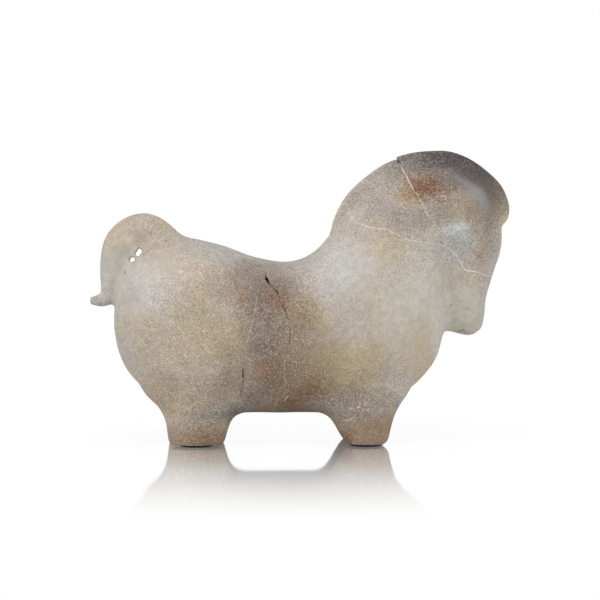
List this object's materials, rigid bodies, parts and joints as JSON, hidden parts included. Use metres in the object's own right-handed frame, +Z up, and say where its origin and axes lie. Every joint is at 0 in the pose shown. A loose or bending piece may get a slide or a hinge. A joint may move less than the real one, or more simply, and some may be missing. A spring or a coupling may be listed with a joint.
{
  "type": "clay horse figure",
  "caption": "Squat clay horse ornament with a rounded barrel, bowed head, flat-topped mane, looped tail and stub legs, luted from hollow parts and mended along its cracks.",
  "frame": {"origin": "on the floor, below the middle of the horse's length and width", "axes": "+X towards the head, +Y to the horse's left, +Z up"},
  "size_m": [0.3002, 0.1016, 0.209],
  "materials": {
    "stoneware": "matte",
    "stoneware_stained": "matte",
    "stoneware_pale": "matte",
    "stoneware_charred": "matte",
    "crack_filler": "matte",
    "felt": "matte"
  },
  "bodies": {
    "root": {"hind_barrel": "stoneware", "waist_band": "stoneware_stained", "fore_barrel": "stoneware", "muzzle": "stoneware_pale", "nape": "stoneware", "crown": "stoneware", "mane_rear": "stoneware", "mane_front": "stoneware_charred", "tail": "stoneware_pale", "hind_left_leg": "stoneware", "hind_right_leg": "stoneware", "fore_left_leg": "stoneware", "fore_right_leg": "stoneware", "crown_seam_filler": "crack_filler", "neck_seam_filler": "crack_filler", "hind_left_pad": "felt", "hind_right_pad": "felt", "fore_left_pad": "felt", "fore_right_pad": "felt"}
  },
  "joints": []
}
